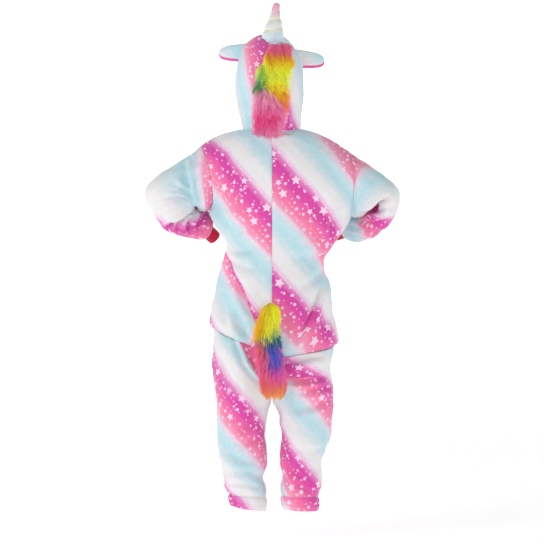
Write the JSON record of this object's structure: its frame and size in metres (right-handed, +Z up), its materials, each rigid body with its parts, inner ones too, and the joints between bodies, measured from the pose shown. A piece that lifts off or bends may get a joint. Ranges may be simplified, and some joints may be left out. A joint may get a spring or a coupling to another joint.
{
  "type": "unicorn onesie",
  "caption": "Worn, empty hooded onesie in fleece with diagonal stripes and stars, a stuffed horn, ears, a rainbow fur mane and tail, and a front zip.",
  "frame": {"origin": "base of the neck, midway between the shoulder seams, where the wearer carries the garment", "axes": "+Z up the wearer; the wearer faces -Y, so the mane and tail are at +Y; +X is the wearer's left"},
  "size_m": [0.6355, 0.2894, 1.267],
  "materials": {
    "printed_fleece": "short-pile flannel fleece, printed with soft diagonal stripes, stars and dots",
    "pink_fleece": "plain short-pile fleece",
    "red_rib": "rib knit",
    "horn_satin": "soft sheen satin, shaded white, yellow and pink",
    "rainbow_fur": "long-pile fur fabric in rainbow bands",
    "zip_tape": "woven tape",
    "zip_metal": "plated metal"
  },
  "bodies": {
    "garment": {"back_left": "printed_fleece", "front_left": "printed_fleece", "leg_back_left": "printed_fleece", "leg_front_left": "printed_fleece", "sleeve_left": "printed_fleece", "wrist_cuff_left": "red_rib", "ankle_cuff_left": "printed_fleece", "hood_left": "printed_fleece", "ear_left_outer": "printed_fleece", "ear_left_inner": "pink_fleece", "zip_tape_left": "zip_tape", "back_right": "printed_fleece", "front_right": "printed_fleece", "leg_back_right": "printed_fleece", "leg_front_right": "printed_fleece", "sleeve_right": "printed_fleece", "wrist_cuff_right": "red_rib", "ankle_cuff_right": "printed_fleece", "hood_right": "printed_fleece", "ear_right_outer": "printed_fleece", "ear_right_inner": "pink_fleece", "zip_tape_right": "zip_tape", "horn": "horn_satin", "mane": "rainbow_fur", "tail": "rainbow_fur", "zip_slider": "zip_metal"},
    "zip_pull": {"zip_pull": "zip_metal"}
  },
  "joints": [
    {"name": "pull_hinge", "type": "hinge", "parent": "garment", "child": "zip_pull", "pos_m": [0, -0.08196, -0.04479], "axis": [-1, 0, 0], "range_deg": [0, 150]}
  ]
}
